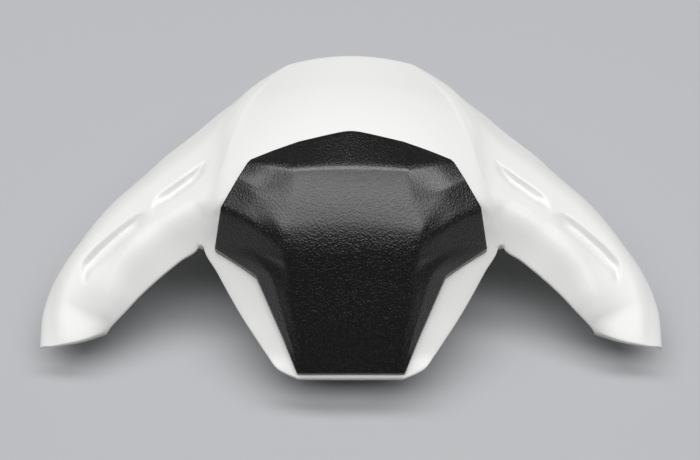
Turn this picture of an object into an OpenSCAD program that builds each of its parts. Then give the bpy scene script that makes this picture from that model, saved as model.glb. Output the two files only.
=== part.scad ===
// Seat cowl for a motorbike: a moulded gloss shell with two swept wings and a
// short tongue, a facetted back pad on its front face, and the frame under it
// that carries the latch loop, the front hook and the rubber buffers.
// X is across the bike, Y runs from the tongue's lip to the tail, Z is up.
// The origin is under the middle of the cowl, on the surface it stands on.

/* [Shell] */
// Width over the two wings
cowl_w = 342; // [300:1:380]
// Length from the lip of the tongue to the tail
cowl_l = 192; // [170:1:215]
// Height of the middle of the top panel
cowl_h = 96; // [88:1:110]
// Thickness of the moulded wall
wall = 2.6; // [2:0.1:3.2]
// Depth of the turned-down edge at the tail
tail_skirt = 22; // [14:1:26]
// Depth of the turned-down edge at the wing tips
tip_skirt = 3; // [2:0.5:6]
// Outward lean of the turned-down edge over its depth
skirt_draft = 1; // [0.5:0.1:2]
// Depth of the flutes pressed into the wings
flute_depth = 3.2; // [0:0.1:4]

/* [Back pad] */
// Thickness of the pad's rim where it meets the shell
pad_rim = 2.6; // [2:0.1:4]
// Gap between the pad's back and the shell
pad_gap = 0.6; // [0.4:0.05:0.8]
// Diameter of the screws that hold the pad
pad_screw_d = 5; // [4:0.5:6]
// How far the pad screws reach into the pad
pad_screw_grip = 4; // [3:0.5:4.5]
// Diameter of the washers under the pad screws
pad_washer_d = 12; // [10:0.5:14]
// Thickness of the washers under the pad screws
pad_washer_t = 1; // [0.6:0.1:1.6]
// Depth of the seats inside the shell for the pad screws
pad_seat_h = 4; // [3:0.5:6]

/* [Base frame] */
// Half width of the frame's plate
frame_half_w = 56; // [54:1:60]
// Distance from the lip to the front of the plate
frame_front = 44; // [42:1:48]
// Distance from the lip to the back of the plate
frame_back = 166; // [160:1:170]
// Height of the plate's underside above the ground
frame_z = 24; // [22:1:28]
// Thickness of the plate
frame_t = 3; // [2.5:0.1:4]
// Height of the frame's rim and ribs
frame_rib_h = 9; // [6:0.5:12]
// Thickness of the frame's rim and ribs
frame_rib_t = 2.4; // [2:0.1:3]
// Diameter of the pillars that reach up to the shell
pillar_d = 14; // [13:0.5:17]
// Length of the shell's bosses, from its outer face down to the pillars
boss_h = 22; // [18:1:26]

/* [Fixings] */
// Diameter of the screws through the pillars
frame_screw_d = 5; // [4:0.5:6]
// Diameter of the threaded inserts in the bosses
insert_d = 7.5; // [7:0.5:8]
// Length of the threaded inserts
insert_l = 9; // [7:0.5:10]
// Gap round each screw in its hole
screw_gap = 0.25; // [0.15:0.05:0.4]
// Diameter of the bolts that hold the latch loop and the hook
bolt_d = 6; // [5:0.5:8]

/* [Latch loop and hook] */
// Diameter of the loop's rod
loop_rod_d = 7; // [6:0.5:8]
// Distance between the middles of the loop's legs
loop_span = 34; // [30:1:40]
// Clear height of the loop below its plate
loop_clear = 12; // [9:0.5:12.5]
// Thickness of the latch and hook plates
plate_t = 3; // [2:0.5:3.5]
// Width of the front hook
hook_w = 32; // [26:1:40]
// Reach of the hook's nose in front of its upright
hook_reach = 16; // [12:1:18]
// Drop from the frame to the hook's nose
hook_drop = 14; // [12:1:18]

/* [Buffers and wing pins] */
// Diameter of the rubber buffers
buffer_d = 22; // [18:1:24]
// Height of the rubber buffers
buffer_h = 13; // [10:1:15]
// Diameter of the wing pins
pin_d = 8; // [6:0.5:9]
// Length of each wing pin below its collar
pin_l = 15; // [12:1:18]
// Diameter of the collar on each wing pin
pin_collar_d = 14; // [12:0.5:16]
// Length of the bosses in the wings, from the wing's outer face down to the collar
pin_boss_h = 15; // [13:1:17]

/* [Hidden] */
$fn = 48;
// The sizes at which the shell's lines below are drawn
drawn_w = 340;
drawn_l = 191;
drawn_h = 96;

// The lines that shape the shell run from the tail to the lip or the wing tip,
// one point at each station: half width, distance from the lip, height.
// Middle of the top panel and of the tongue: distance from the lip, height
middle_line = [[191, 84], [165, 89.5], [146, 93.5], [122, 96], [99, 94.5],
    [82, 89.5], [73, 85], [64, 79], [52, 71], [40, 60.5], [30, 51], [20, 42],
    [11, 34], [4.5, 28.5], [0, 25]];
// Shoulder crease, then the edge of the tongue
shoulder_line = [[37, 188, 80], [52.5, 161, 82], [59, 143, 84],
    [64, 120.5, 84], [68, 99.5, 81], [72, 80, 75], [77.5, 72.5, 64],
    [80.3, 64.5, 52], [72.5, 52, 47.5], [65, 40, 42.5], [58, 29.5, 38],
    [51, 20, 34], [44, 11, 29.5], [38, 4, 27], [28, 0, 25]];
// Start of the wing, then its inner edge
inner_line = [[38.5, 187.2, 79.8], [53.6, 162, 81.8], [60.3, 144.6, 83.7],
    [65.6, 122.3, 83.6], [69.8, 101.5, 80.5], [74.2, 82, 74.2],
    [80.2, 74.5, 64], [83.6, 65.3, 52], [93, 60, 47.5], [104, 52.5, 42.5],
    [114.5, 45, 36.5], [122.5, 38, 31.5], [128, 33.5, 28], [131.2, 31.4, 25.3],
    [133.2, 29.9, 22.8]];
// Outer edge of the wing, where its turned-down edge starts
outer_line = [[54, 178.5, 75], [62, 172, 73.5], [69, 163.5, 72],
    [81, 154, 68], [94, 143, 63], [110, 131, 57], [119, 122, 53.5],
    [128.5, 113, 50], [138, 105, 46], [147.5, 93, 42], [156.5, 78, 37.5],
    [163.5, 64.5, 34], [168, 52, 30], [170, 38.3, 25.8], [168.6, 21.7, 20.5]];
// Fold above the wing's inner face: share of the wing's width, height
fold_line = [[0.3, 78.6], [0.3, 80], [0.3, 81.8], [0.28, 81.2], [0.15, 78.5],
    [0.1, 74.2], [0.12, 70.2], [0.22, 66.2], [0.25, 61.2], [0.27, 55.2],
    [0.24, 46.8], [0.15, 39.2], [0.1, 32.5], [0.1, 27.4], [0.12, 24]];
// Ridge outside the flutes: share of the wing's width, height
ridge_line = [[0.6, 77.2], [0.6, 77.8], [0.6, 79], [0.6, 77], [0.62, 74],
    [0.7, 69.4], [0.75, 65.8], [0.78, 62.2], [0.79, 58], [0.8, 53.2],
    [0.82, 48], [0.82, 42.2], [0.78, 36.8], [0.7, 31], [0.6, 24.2]];
stations = len(middle_line) - 1;
// The station where the notch between tongue and wing ends
notch_station = 7;
// How far the notch's round end reaches past its corners
notch_round = 1.5;
// Power of the curve that crowns the middle panel
crown_power = 2;
// Share of the wing's width over which its folds are rounded, and the most of a
// fold's own share that its rounding takes
fold_round = 0.11;
fold_round_most = 0.9;
// How far the wing's tip bows forward, and the stations over which it does
tip_bow = -4;
tip_bow_over = 1.6;
// Power of the curve along which the turned-down edge gets shallower
skirt_power = 0.75;

// The steep wall of the flutes, as a share of the wing's width at each station
flute_line = [0.55, 0.5, 0.44, 0.36, 0.33, 0.435, 0.49, 0.56, 0.555, 0.605,
    0.675, 0.71, 0.715, 0.71, 0.7];
// Flutes: the stations at which each one starts and ends
flutes = [[4.3, 7.7], [7.8, 11.4]];
// Stations over which a flute deepens, and over which it fades at its end
flute_start = 0.8;
flute_end = 1;
// How far a flute's floor narrows towards its end, and the stations over which it does
floor_taper = 0.12;
taper_over = 2;
// How far a flute's wall turns in at its end, as a share of the wing's width, and
// the stations over which it turns in and comes back
flute_hook = 0.13;
hook_over = 0.9;
hook_back = 0.3;

// Grid of the shell: rows between stations, columns on the half panel, and
// the places across the wing at which its columns lie, from its inner edge at
// 0 through the flutes' floor and their wall's foot and head to its outer edge at 1
rows_each = 3;
body_cols = 7;
gap_cols = 2;
floor_start = 0.44;
wall_foot = 0.64;
wall_head = 0.7;
wing_places = [0, 0.09, 0.17, 0.25, 0.34, floor_start, 0.52, 0.58, wall_foot, wall_head,
    0.77, 0.85, 0.93, 1];
skirt_shares = [0.16, 1];
wing_cols = len(wing_places) - 1;
skirt_cols = len(skirt_shares);
first_wing = body_cols + gap_cols;
last_wing = first_wing + wing_cols;
last_col = last_wing + skirt_cols;
last_row = stations * rows_each;
notch_row = notch_station * rows_each;
cols_all = 2 * last_col + 1;

// The pad's outer face: rows from its top edge to its lower edge, each with its
// middle, the edge of the centre facet, the swell of the side and its rim, drawn
// as the lines are
pad_net = [
    [[0, 108.7, 97.8], [28, 103, 95.4], [41.2, 99.8, 91.9], [53.7, 96.6, 88.2]],
    [[0, 81.5, 99], [29, 81, 98], [44, 88.2, 94], [55.4, 95, 87.4]],
    [[0, 61, 89.6], [31.4, 61.4, 88.6], [48, 72.5, 89], [60.6, 86.4, 84]],
    [[0, 43, 76], [33, 44.2, 76.2], [51, 60.8, 77.6], [69.6, 76, 73.2]],
    [[0, 39, 71.6], [32.5, 40.2, 70.8], [53, 52, 66.5], [73.2, 60.2, 57.6]],
    [[0, 33.6, 65.4], [31.2, 34.2, 64.8], [41, 38.4, 61.6], [50, 43, 56.4]],
    [[0, 12.3, 42], [27.2, 12.8, 41.4], [31.5, 13.8, 39.8], [35, 15.2, 37.4]],
    [[0, 0.8, 27.8], [24.4, 0.8, 27.8], [26.4, 0.9, 27.7], [28, 1, 27.6]]];
// The last row at which the side swells smoothly out of the centre facet
pad_crease_row = 3;
// Rows between the rows of the net, and columns beside the middle and on each
// half of the side
pad_rows = 4;
pad_mid_cols = 3;
pad_side_cols = 4;
pad_last_row = (len(pad_net) - 1) * pad_rows;
pad_last_col = pad_mid_cols + 2 * pad_side_cols;

// Places of the pad's screws: half width and distance from the lip
pad_screw_at = [[20, 88], [20, 36]];
// Wall left round each screw hole, room left past the screw's end in a blind hole,
// and how far a through hole is cut past the wall
seat_rim = 2;
hole_end = 1;
hole_past = 4;
screw_head_h = 3;
screw_head_share = 1.7;
screw_socket_share = 0.6;
// Places of the frame's pillars: half width and distance from the lip
pillar_at = [[42, 74], [42, 134]];
// Narrowing of the plate towards its front, and the radius of its corners
frame_taper = 10;
frame_corner = 9;
// Wall left above the screw heads in the pillars
pillar_floor = 6;
// How far the screws reach past the pillars into the inserts
screw_reach = 8;
// Depth of the ribs that tie the shell's bosses together
shell_rib_h = 12;
// Places of the buffers: half width and distance from the lip
buffer_at = [[38, 57], [38, 152]];
buffer_stem_d = 9;
buffer_stem_gap = 0.2;
cup_wall = 2;
// Place of the latch loop and of the hook: distance from the lip
loop_at = 112;
hook_at = 58;
plate_len = 24;
hook_bolt_span = 18;
// Place of the wing pins: station, and place across the wing
pin_u = 9.6;
pin_q = 0.36;
pin_collar_t = 3;
pin_stud_d = 5;
pin_stud_l = 8;

// A smooth curve through the points of a line, with u counted in stations
function line_at(line, u) =
    let (n = len(line) - 1, i = min(max(floor(u), 0), n - 1), t = u - i,
        a = line[max(i - 1, 0)], b = line[i], c = line[i + 1],
        d = line[min(i + 2, n)])
    b + t * (c - a) / 2 + t * t * (2 * a - 5 * b + 4 * c - d) / 2
        + t * t * t * (3 * b - a - 3 * c + d) / 2;

// A ramp that starts smoothly over the width r on either side of zero
function ramp(x, r) = x <= -r ? 0 : x >= r ? x : (x + r) * (x + r) / (4 * r);

// A step from 0 to 1 with round shoulders
function step01(x) = let (t = min(max(x, 0), 1)) t * t * (3 - 2 * t);

// From the drawn half width, distance from the lip and height to the part
scale_x = (cowl_w - 2 * skirt_draft) / drawn_w;
scale_y = (cowl_l - skirt_draft) / drawn_l;
scale_z = cowl_h / drawn_h;
function placed(p) = [p.x * scale_x, p.y * scale_y - cowl_l / 2, p.z * scale_z];

// Top panel and tongue: u in stations, s from 0 in the middle to 1 at the edge
function panel_drawn(u, s) =
    let (m = line_at(middle_line, u), e = line_at(shoulder_line, u))
    [s * e.x, m.x + (e.y - m.x) * s * s, m.y + (e.z - m.y) * pow(s, crown_power)];
function panel(u, s) = placed(panel_drawn(u, s));

// Depth of the flutes at station u and place q across the wing
function flute_at(u, q) = flute_depth * step01((wall_head - q) / (wall_head - wall_foot))
    * max([for (f = flutes)
        let (start = floor_start + floor_taper * step01((u - f[1]) / taper_over + 1))
        step01((q - start) / (wall_foot - start))
            * step01((u - f[0]) / flute_start) * step01((f[1] - u) / flute_end)]);

// How far the flutes' wall turns in at station u
function hook_at(u) = flute_hook * max([for (f = flutes)
    step01((u - f[1]) / hook_over + 1) * step01(1 - (u - f[1]) / hook_back)]);

// Share of the wing's width at station u and place q across it
function wing_share(u, q) = let (f = line_at(flute_line, u) - hook_at(u))
    q < wall_head ? q / wall_head * f : f + (q - wall_head) / (1 - wall_head) * (1 - f);

// Wing: u in stations, q the place from its inner edge at 0 to its outer edge at 1
function wing(u, q) =
    let (a = line_at(inner_line, u), b = line_at(outer_line, u), w = wing_share(u, q),
        fold = line_at(fold_line, u), ridge = line_at(ridge_line, u),
        rise_1 = (fold.y - a.z) / fold.x,
        rise_2 = (ridge.y - fold.y) / (ridge.x - fold.x),
        rise_3 = (b.z - ridge.y) / (1 - ridge.x),
        round_1 = min(fold_round, fold.x * fold_round_most),
        z = a.z + rise_1 * w + (rise_2 - rise_1) * ramp(w - fold.x, round_1)
            + (rise_3 - rise_2) * ramp(w - ridge.x, fold_round),
        bow = 4 * w * (1 - w) * tip_bow * step01((u - stations) / tip_bow_over + 1))
    placed([a.x + (b.x - a.x) * w, a.y + (b.y - a.y) * w + bow,
        z - flute_at(u, q)]);

// The strip between panel and wing, which ends in the notch's round end
function strip(u, k) =
    let (t = k / gap_cols, reach = u == notch_station ? notch_round : 0)
    panel(u, 1) * (1 - t) + wing(u, 0) * t + [0, 4 * t * (1 - t) * reach, 0];

function turned(v) = let (n = norm(v)) [v.y / n, -v.x / n, 0];
// Outward direction in plan along the wing's outer edge and across the tail
function outward(u) = turned(line_at(outer_line, u - 0.1) - line_at(outer_line, u + 0.1));
function tail_outward(a) = a <= body_cols ? [0, 1, 0]
    : turned(inner_line[0] - outer_line[0]);
function skirt_depth(u) = tail_skirt + (tip_skirt - tail_skirt)
    * pow(u / stations, skirt_power);
function dropped(p, out, depth, share) =
    p + out * skirt_draft * share + [0, 0, -depth * share];

// A point of the outer surface on the half where X is positive
function half_point(i, a) =
    i < 0 && a >= last_wing ? half_point(0, last_wing - i)
    : i < 0 ? dropped(half_point(0, a), tail_outward(a), skirt_depth(0),
        skirt_shares[-i - 1])
    : let (u = i / rows_each)
    a <= body_cols ? panel(u, a / body_cols)
    : a < first_wing ? strip(u, a - body_cols)
    : a <= last_wing ? wing(u, wing_places[a - first_wing])
    : dropped(wing(u, 1), outward(u), skirt_depth(u),
        skirt_shares[a - last_wing - 1]);
function point_at(i, j) = let (p = half_point(i, abs(j))) j < 0 ? [-p.x, p.y, p.z] : p;

// Which squares of the grid carry the shell, and which sides of them are seams
function in_notch(i, j) = i >= notch_row
    && (j >= body_cols && j < first_wing || j < -body_cols && j >= -first_wing);
function has_square(i, j) = i >= -skirt_cols && i < last_row
    && (i < 0 ? j >= -last_wing && j < last_wing
        : j >= -last_col && j < last_col && !in_notch(i, j));
function is_seam(i, j, di, dj) = dj != 0 && i < 0
    || di < 0 && i == 0 && (j >= last_wing || j < -last_wing);

// The corner between tail and wing is shared by both turned-down edges
function index_at(i, j) = i < 0 && abs(j) >= last_wing
    ? index_at(0, sign(j) * (last_wing - i))
    : (i + skirt_cols) * cols_all + j + last_col;

// The nearest column in a direction that is on the same piece of the shell
function side_col(i, j, dj) =
    let (k = j + dj, half_gap = abs(j) <= body_cols ? body_cols : first_wing)
    abs(k) > (i < 0 ? last_wing : last_col) ? j
    : i > notch_row && (abs(j) <= body_cols ? abs(k) > body_cols : abs(k) < first_wing) ? j
    : k;
function side_row(i, di) = min(max(i + di, -skirt_cols), last_row);

module cowl_skin() {
    outer = [for (i = [-skirt_cols : last_row])
        [for (j = [-last_col : last_col]) point_at(i, j)]];
    function at(i, j) = i < 0 && abs(j) >= last_wing
        ? outer[skirt_cols][sign(j) * (last_wing - i) + last_col]
        : outer[i + skirt_cols][j + last_col];
    function facing(i, j) =
        let (across = at(i, side_col(i, j, 1)) - at(i, side_col(i, j, -1)),
            along = at(side_row(i, -1), j) - at(side_row(i, 1), j),
            n = cross(across, along))
        n / norm(n);
    inner = [for (i = [-skirt_cols : last_row]) [for (j = [-last_col : last_col])
        i < 0 && abs(j) >= last_wing ? at(i, j) : at(i, j) - wall * facing(i, j)]];
    count = len(outer) * cols_all;
    function two(a, b, c, d) = [[a, b, c], [a, c, d]];
    function two_left(a, b, c, d) = [[a, b, d], [b, c, d]];
    squares = [for (i = [-skirt_cols : last_row - 1], j = [-last_col : last_col - 1])
        if (has_square(i, j)) [i, j]];
    top = [for (q = squares) let (i = q.x, j = q.y)
        let (a = index_at(i, j), b = index_at(i, j + 1), c = index_at(i + 1, j + 1),
            d = index_at(i + 1, j))
        each j < 0 ? two_left(a, b, c, d) : two(a, b, c, d)];
    sides = [for (q = squares) let (i = q.x, j = q.y)
        each [for (s = [[-1, 0, [i, j + 1], [i, j]], [1, 0, [i + 1, j], [i + 1, j + 1]],
            [0, -1, [i, j], [i + 1, j]], [0, 1, [i + 1, j + 1], [i, j + 1]]])
            if (!has_square(i + s[0], j + s[1]) && !is_seam(i, j, s[0], s[1]))
                [index_at(s[2].x, s[2].y), index_at(s[3].x, s[3].y)]]];
    under = [for (f = top) [f[2] + count, f[1] + count, f[0] + count]];
    walls = [for (e = sides) each two(e[0], e[1], e[1] + count, e[0] + count)];
    polyhedron(points = concat([for (row = outer) each row], [for (row = inner) each row]),
        faces = concat(top, under, walls));
}

// The station at which the middle line lies at a distance d from the lip
function station_of(d) = lookup(d, [for (u = [stations : -0.25 : 0])
    [line_at(middle_line, u).x, u]]);

// Height and outward direction of the middle panel over a place in plan
function drawn_d(y) = (y + cowl_l / 2) / scale_y;
function panel_place(x, d) =
    let (u = station_of(d), m = line_at(middle_line, u), e = line_at(shoulder_line, u),
        s = x / e.x, v = station_of(d - (e.y - m.x) * s * s),
        n = line_at(middle_line, v), f = line_at(shoulder_line, v), t = x / f.x,
        w = station_of(d - (f.y - n.x) * t * t))
    [w, x / line_at(shoulder_line, w).x];
function panel_z(x, y) =
    let (p = panel_place(abs(x) / scale_x, drawn_d(y)))
    panel(p.x, p.y).z;
function unit(v) = v / norm(v);
function panel_out(x, y) = unit([(panel_z(x - 1, y) - panel_z(x + 1, y)) / 2,
    (panel_z(x, y - 1) - panel_z(x, y + 1)) / 2, 1]);
function wing_out(u, q) = unit(cross(wing(u, q + 0.03) - wing(u, q - 0.03),
    wing(u - 0.2, q) - wing(u + 0.2, q)));

// From a place by half width and distance from the lip to the part
function spot(at) = placed([at.x, at.y, 0]);

// Puts its children at a point with their Z axis along a direction
module along(p, n) {
    translate(p) rotate([0, acos(n.z), atan2(n.y, n.x)]) children();
}

module both_sides() {
    children();
    mirror([1, 0, 0]) children();
}

// An upright boss whose top follows the slope of the shell's wall at p and ends in the wall
boss_into_wall = 0.8;
module wall_boss(p, n, d, bottom) {
    reach = 4 * d;
    intersection() {
        translate([p.x, p.y, bottom]) cylinder(d = d, h = p.z - bottom + d);
        along(p - n * wall * boss_into_wall, n) translate([-reach, -reach, -2 * reach])
            cube([2 * reach, 2 * reach, 2 * reach]);
    }
}

// Where the pad's screws start on the shell's outer face
function pad_screw_point(at) = let (p = spot(at)) [p.x, p.y, panel_z(p.x, p.y)];
module at_pad_screws() {
    both_sides() for (at = pad_screw_at) {
        p = pad_screw_point(at);
        along(p, panel_out(p.x, p.y)) children();
    }
}
pad_seat_z = -wall - pad_seat_h;
pad_screw_tip = pad_gap + pad_screw_grip;

pin_point = wing(pin_u, pin_q);
// Height of the collar's upper face, which meets the wing's boss
pin_seat_z = pin_point.z - pin_boss_h;
// Height at which the pillars meet the shell's bosses
pillar_top = min([for (at = pillar_at) panel_z(spot(at).x, spot(at).y)]) - boss_h;
boss_wall = 3;
insert_boss_d = insert_d + 2 * boss_wall;

// A rib across the shell at a distance from the lip, from one boss to the other
module shell_rib(at) {
    p = spot(at);
    steps = 12;
    xs = [for (k = [0 : steps]) p.x * (2 * k / steps - 1)];
    function skin(x) = panel_z(x, p.y) - wall / 2;
    translate([0, p.y + wall / 2, 0]) rotate([90, 0, 0]) linear_extrude(wall)
        polygon(concat([for (x = xs) [x, skin(x)]],
            [for (k = [steps : -1 : 0]) [xs[k], skin(xs[k]) - shell_rib_h]]));
}

module cowl_shell() {
    color("white") difference() {
        union() {
            cowl_skin();
            for (at = pillar_at) shell_rib(at);
            both_sides() for (at = pillar_at) {
                p = spot(at);
                wall_boss([p.x, p.y, panel_z(p.x, p.y)], panel_out(p.x, p.y),
                    insert_boss_d, pillar_top);
            }
            at_pad_screws() translate([0, 0, pad_seat_z])
                cylinder(d = pad_washer_d + 2 * seat_rim, h = pad_seat_h + wall / 2);
            both_sides() wall_boss(pin_point, wing_out(pin_u, pin_q),
                pin_collar_d, pin_seat_z);
        }
        both_sides() for (at = pillar_at) {
            p = spot(at);
            translate([p.x, p.y, pillar_top - 1]) cylinder(d = insert_d, h = insert_l + 1);
        }
        at_pad_screws() translate([0, 0, pad_seat_z - 1])
            cylinder(d = pad_screw_d + 2 * screw_gap, h = pad_seat_h + wall + hole_past);
        both_sides() translate([pin_point.x, pin_point.y, pin_seat_z - 1])
            cylinder(d = pin_stud_d + 2 * screw_gap, h = pin_stud_l + hole_end + 1);
    }
}

// A point across row k of the pad's net, with c counted in its four lines
function pad_across(k, c) = let (row = pad_net[k], i = min(floor(c), 2), t = c - i)
    k <= pad_crease_row
        ? line_at(concat([[-row[1].x, row[1].y, row[1].z]], row), c + 1)
        : row[i] * (1 - t) + row[i + 1] * t;

// A point of the pad's net on the half where X is positive
function pad_facet(i, a) =
    let (k = min(floor(i / pad_rows), len(pad_net) - 2), t = i / pad_rows - k,
        c = a < pad_mid_cols ? a / pad_mid_cols : 1 + (a - pad_mid_cols) / pad_side_cols)
    placed(pad_across(k, c) * (1 - t) + pad_across(k + 1, c) * t)
        + [0, 0, pad_rim - drawn_rim];

// A point of the pad's outer face: the foam rounds the creases that run across it
function pad_half(i, a) = i == 0 || i == pad_last_row ? pad_facet(i, a)
    : (pad_facet(i - 1, a) + 2 * pad_facet(i, a) + pad_facet(i + 1, a)) / 4;
// Rim thickness at which the pad's net is drawn
drawn_rim = 2.6;

module pad_body() {
    rows = [for (i = [0 : pad_last_row]) i];
    cols = [for (j = [-pad_last_col : pad_last_col]) j];
    wide = len(cols);
    top = [for (i = rows) each [for (j = cols)
        let (p = pad_half(i, abs(j))) j < 0 ? [-p.x, p.y, p.z] : p]];
    under = [for (p = top) let (n = panel_out(p.x, p.y))
        [p.x, p.y, panel_z(p.x, p.y) + pad_gap / n.z]];
    count = len(top);
    function at(i, k) = i * wide + k;
    function two(a, b, c, d) = [[a, b, c], [a, c, d]];
    faces_top = [for (i = [0 : pad_last_row - 1], k = [0 : wide - 2])
        each two(at(i, k), at(i, k + 1), at(i + 1, k + 1), at(i + 1, k))];
    faces_under = [for (f = faces_top) [f[2] + count, f[1] + count, f[0] + count]];
    rim = concat([for (k = [0 : wide - 2]) [at(0, k + 1), at(0, k)]],
        [for (i = [0 : pad_last_row - 1]) [at(i, 0), at(i + 1, 0)]],
        [for (k = [0 : wide - 2]) [at(pad_last_row, k), at(pad_last_row, k + 1)]],
        [for (i = [0 : pad_last_row - 1]) [at(i + 1, wide - 1), at(i, wide - 1)]]);
    faces_rim = [for (e = rim) each two(e[0], e[1], e[1] + count, e[0] + count)];
    polyhedron(points = concat(top, under), faces = concat(faces_top, faces_under, faces_rim));
}

module back_pad() {
    color("#1c1c1d") difference() {
        pad_body();
        at_pad_screws() cylinder(d = pad_screw_d + 2 * screw_gap,
            h = pad_screw_tip + hole_end);
    }
}

module pad_washers() {
    color("silver") at_pad_screws() translate([0, 0, pad_seat_z - pad_washer_t])
        difference() {
            cylinder(d = pad_washer_d, h = pad_washer_t);
            translate([0, 0, -1]) cylinder(d = pad_screw_d + 2 * screw_gap, h = pad_washer_t + 2);
        }
}

module pad_screws() {
    color("dimgray") at_pad_screws() {
        base = pad_seat_z - pad_washer_t;
        translate([0, 0, base]) cylinder(d = pad_screw_d, h = pad_screw_tip - base);
        translate([0, 0, base - screw_head_h]) difference() {
            cylinder(d = pad_screw_d * screw_head_share, h = screw_head_h);
            translate([0, 0, -1])
                cylinder(d = pad_screw_d * screw_socket_share, h = screw_head_h, $fn = 6);
        }
    }
}

// The outline of the frame's plate, with round corners, shrunk by m on every side
function frame_corners(m) =
    let (front = placed([0, frame_front, 0]).y, back = placed([0, frame_back, 0]).y)
    [[-frame_half_w + frame_taper + m, front + m], [frame_half_w - frame_taper - m, front + m],
        [frame_half_w - m, front + 2 * frame_taper], [frame_half_w - m, back - frame_taper],
        [frame_half_w - frame_taper - m, back - m],
        [-frame_half_w + frame_taper + m, back - m], [-frame_half_w + m, back - frame_taper],
        [-frame_half_w + m, front + 2 * frame_taper]];

// Rounds each corner of an outline with an arc of radius r
function rounded(pts, r) = [for (k = [0 : len(pts) - 1])
    let (n = len(pts), p = pts[k], a = unit(pts[(k + n - 1) % n] - p),
        b = unit(pts[(k + 1) % n] - p), half = acos(a * b) / 2,
        centre = p + unit(a + b) * r / sin(half), start = p + a * r / tan(half) - centre,
        turn = 180 - 2 * half)
    each [for (s = [0 : 4]) let (g = turn * s / 4)
        centre + [start.x * cos(g) - start.y * sin(g), start.x * sin(g) + start.y * cos(g)]]];

cup_d = buffer_d + 2 * cup_wall;
cup_floor_z = buffer_h;
foot_points = [for (at = buffer_at) spot(at)];
pillar_points = [for (at = pillar_at) spot(at)];
loop_y = spot([0, loop_at]).y;
hook_y = spot([0, hook_at]).y;
bolt_flange_d = bolt_d * 2;
loop_bolt_x = loop_span / 2 + loop_rod_d / 2 + bolt_flange_d / 2 + 1;
bolt_hole_d = bolt_d + 2 * screw_gap;
hook_bolt_y = hook_y + plate_len / 2 - bolt_flange_d / 2;

module frame_rib(from, to) {
    d = to - from;
    translate([from.x, from.y, frame_z]) rotate([0, 0, atan2(d.y, d.x)])
        translate([0, -frame_rib_t / 2, 0]) cube([norm(d), frame_rib_t, frame_t + frame_rib_h]);
}

module base_frame() {
    pillars = pillar_points;
    color("#2b2b2d") difference() {
        union() {
            translate([0, 0, frame_z]) linear_extrude(frame_t)
                polygon(rounded(frame_corners(0), frame_corner));
            translate([0, 0, frame_z]) linear_extrude(frame_t + frame_rib_h) difference() {
                polygon(rounded(frame_corners(0), frame_corner));
                polygon(rounded(frame_corners(frame_rib_t), frame_corner - frame_rib_t));
            }
            both_sides() for (p = pillars) translate([p.x, p.y, frame_z])
                cylinder(d = pillar_d, h = pillar_top - frame_z);
            both_sides() frame_rib([pillars[0].x, pillars[0].y], [pillars[1].x, pillars[1].y]);
            frame_rib([-pillars[1].x, pillars[1].y], [pillars[1].x, pillars[1].y]);
            frame_rib([-pillars[0].x, pillars[0].y], [pillars[0].x, pillars[0].y]);
            both_sides() for (p = foot_points) translate([p.x, p.y, cup_floor_z])
                cylinder(d = cup_d, h = frame_z + frame_t - cup_floor_z);
        }
        both_sides() for (p = pillars) {
            translate([p.x, p.y, frame_z - 1])
                cylinder(d = frame_screw_d + 2 * screw_gap, h = pillar_top - frame_z + 2);
            translate([p.x, p.y, frame_z - 1])
                cylinder(d = frame_screw_d * screw_head_share + 1,
                    h = pillar_top - pillar_floor - frame_z + 1);
        }
        both_sides() for (p = foot_points) translate([p.x, p.y, cup_floor_z - 1])
            cylinder(d = buffer_stem_d + 2 * buffer_stem_gap, h = frame_z);
        for (x = [-1, 1]) {
            translate([x * loop_bolt_x, loop_y, frame_z - 1])
                cylinder(d = bolt_hole_d, h = frame_t + frame_rib_h + 2);
            translate([x * hook_bolt_span / 2, hook_bolt_y, frame_z - 1])
                cylinder(d = bolt_hole_d, h = frame_t + frame_rib_h + 2);
        }
    }
}

// Screws from below through the pillars into the inserts
module frame_screws() {
    color("dimgray") both_sides() for (p = pillar_points) {
        seat = pillar_top - pillar_floor;
        translate([p.x, p.y, seat])
            cylinder(d = frame_screw_d, h = pillar_floor + screw_reach);
        translate([p.x, p.y, seat - screw_head_h]) difference() {
            cylinder(d = frame_screw_d * screw_head_share, h = screw_head_h);
            translate([0, 0, -1])
                cylinder(d = frame_screw_d * screw_socket_share, h = screw_head_h, $fn = 6);
        }
    }
}

module boss_inserts() {
    color("goldenrod") both_sides() for (p = pillar_points) translate([p.x, p.y, pillar_top])
        difference() {
            cylinder(d = insert_d, h = insert_l);
            translate([0, 0, -1]) cylinder(d = frame_screw_d, h = insert_l + 2);
        }
}

// The latch loop: a plate with a bent rod welded under it
loop_bend = loop_rod_d;
module latch_loop() {
    leg = frame_z - plate_t - loop_clear;
    color("silver") {
        difference() {
            translate([-loop_bolt_x - bolt_flange_d / 2, loop_y - plate_len / 2, frame_z - plate_t])
                cube([2 * loop_bolt_x + bolt_flange_d, plate_len, plate_t]);
            for (x = [-1, 1]) translate([x * loop_bolt_x, loop_y, frame_z - plate_t - 1])
                cylinder(d = bolt_hole_d, h = plate_t + 2);
        }
        translate([0, loop_y, 0]) {
            both_sides() {
                translate([loop_span / 2, 0, leg - loop_rod_d / 2 + loop_bend])
                    cylinder(d = loop_rod_d, h = frame_z - plate_t / 2 - leg + loop_rod_d / 2 - loop_bend);
                translate([loop_span / 2 - loop_bend, 0, leg - loop_rod_d / 2 + loop_bend])
                    rotate([90, 0, 0]) rotate([0, 0, -90]) rotate_extrude(angle = 90)
                        translate([loop_bend, 0]) circle(d = loop_rod_d);
            }
            translate([-loop_span / 2 + loop_bend, 0, leg - loop_rod_d / 2]) rotate([0, 90, 0])
                cylinder(d = loop_rod_d, h = loop_span - 2 * loop_bend);
        }
    }
}

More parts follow.
